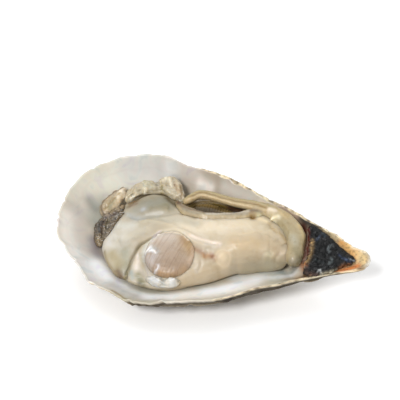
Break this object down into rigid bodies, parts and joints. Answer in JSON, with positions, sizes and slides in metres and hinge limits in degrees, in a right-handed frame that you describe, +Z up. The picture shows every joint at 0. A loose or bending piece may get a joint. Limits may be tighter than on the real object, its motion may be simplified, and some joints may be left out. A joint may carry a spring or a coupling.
{
  "type": "oyster on the half shell",
  "caption": "Long, pointed cupped oyster shell lying open on its belly, with the whole oyster in it and the dark ligament at the hinge.",
  "frame": {"origin": "middle of the small flat spot under the shell's belly that it rests on", "axes": "+X along the shell towards the hinge, +Y towards the raised back edge, +Z up; the shell leans 12 degrees forward, so its front edge is the lower one"},
  "size_m": [0.1055, 0.0585, 0.0268],
  "materials": {
    "shell": "layered chalky outside in grey, cream and brown, with a smooth pearly white inside",
    "ligament": "blue-black, cracked, half glossy",
    "body": "wet translucent flesh, cream with grey-green parts",
    "muscle": "wet translucent muscle, pinkish grey-brown with fine fibres",
    "catch_muscle": "wet opaque white muscle",
    "mantle": "wet translucent folds, tan with cream crests",
    "mantle_frill": "wet frilled edge, cream-grey with a brown line",
    "mantle_dark": "wet dark fringe, grey-black and olive",
    "gills": "wet fine-ribbed leaves, dark olive-brown"
  },
  "bodies": {
    "root": {"shell": "shell", "ligament": "ligament", "body": "body", "adductor_muscle": "muscle", "catch_muscle": "catch_muscle", "mantle_folds": "mantle", "mantle_frill": "mantle_frill", "mantle_ear": "mantle_frill", "mantle_dark_edge": "mantle_dark", "gills": "gills"}
  },
  "joints": []
}
